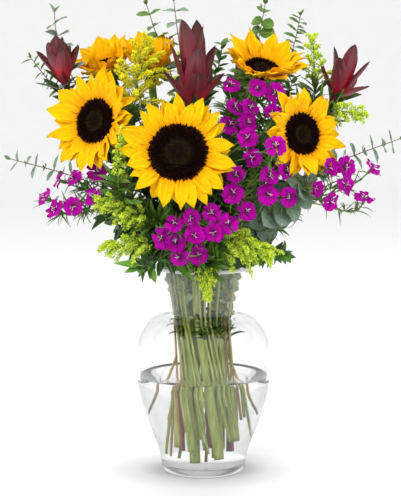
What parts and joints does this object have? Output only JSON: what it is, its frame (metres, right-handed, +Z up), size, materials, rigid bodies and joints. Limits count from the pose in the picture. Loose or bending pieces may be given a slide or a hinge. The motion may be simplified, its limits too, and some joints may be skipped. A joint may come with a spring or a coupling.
{
  "type": "sunflowers in a vase",
  "caption": "Mixed bunch of cut sunflowers with red bracts, magenta florets, yellow plumes and leafy greens, standing in water in a clear glass urn vase.",
  "frame": {"origin": "centre of the vase's flat underside, on the surface it stands on", "axes": "+Z up along the vase's axis, -Y towards the front of the bunch, +X to the viewer's right"},
  "size_m": [0.4215, 0.2582, 0.5131],
  "materials": {
    "clear_glass": "clear polished glass",
    "water": "clear still water",
    "sunflower_petal": "matt golden petal with fine veins",
    "seed_disc": "dark velvety seed disc",
    "green_stem": "slightly hairy green stem",
    "red_bract": "leathery dark red bract",
    "magenta_floret": "matt magenta petal",
    "solidago_yellow": "fluffy yellow-green florets",
    "eucalyptus_leaf": "grey-green leaf with a dull bloom",
    "green_leaf": "satin dark green leaf"
  },
  "bodies": {
    "root": {"dianthus_back_left": "magenta_floret", "dianthus_back_right": "magenta_floret", "dianthus_left_low": "magenta_floret", "dianthus_low": "magenta_floret", "dianthus_middle": "magenta_floret", "dianthus_right_low": "magenta_floret", "dianthus_upper": "magenta_floret", "eucalyptus_back": "eucalyptus_leaf", "eucalyptus_far_left": "eucalyptus_leaf", "eucalyptus_far_right": "eucalyptus_leaf", "eucalyptus_low_right": "eucalyptus_leaf", "eucalyptus_round": "eucalyptus_leaf", "eucalyptus_top": "eucalyptus_leaf", "eucalyptus_top_left": "eucalyptus_leaf", "eucalyptus_top_middle": "eucalyptus_leaf", "foliage_back": "green_leaf", "foliage_back_right": "green_leaf", "foliage_centre_left": "green_leaf", "foliage_centre_right": "green_leaf", "foliage_front": "green_leaf", "foliage_left": "green_leaf", "foliage_right": "green_leaf", "leucadendron_back": "red_bract", "leucadendron_centre": "red_bract", "leucadendron_left": "red_bract", "leucadendron_right": "red_bract", "solidago_back": "solidago_yellow", "solidago_between": "solidago_yellow", "solidago_hanging": "solidago_yellow", "solidago_left_low": "solidago_yellow", "solidago_left_lowest": "solidago_yellow", "solidago_low": "solidago_yellow", "solidago_right": "solidago_yellow", "solidago_top_left": "solidago_yellow", "solidago_top_right": "solidago_yellow", "sunflower_centre_calyx_stem": "green_stem", "sunflower_centre_disc": "seed_disc", "sunflower_centre_petals": "sunflower_petal", "sunflower_left_calyx_stem": "green_stem", "sunflower_left_disc": "seed_disc", "sunflower_left_petals": "sunflower_petal", "sunflower_right_calyx_stem": "green_stem", "sunflower_right_disc": "seed_disc", "sunflower_right_petals": "sunflower_petal", "sunflower_top_left_calyx_stem": "green_stem", "sunflower_top_left_disc": "seed_disc", "sunflower_top_left_petals": "sunflower_petal", "sunflower_top_middle_calyx_stem": "green_stem", "sunflower_top_middle_disc": "seed_disc", "sunflower_top_middle_petals": "sunflower_petal", "sunflower_top_right_calyx_stem": "green_stem", "sunflower_top_right_disc": "seed_disc", "sunflower_top_right_petals": "sunflower_petal", "twig_left": "eucalyptus_leaf", "twig_top_right": "eucalyptus_leaf", "vase": "clear_glass", "water": "water"}
  },
  "joints": []
}
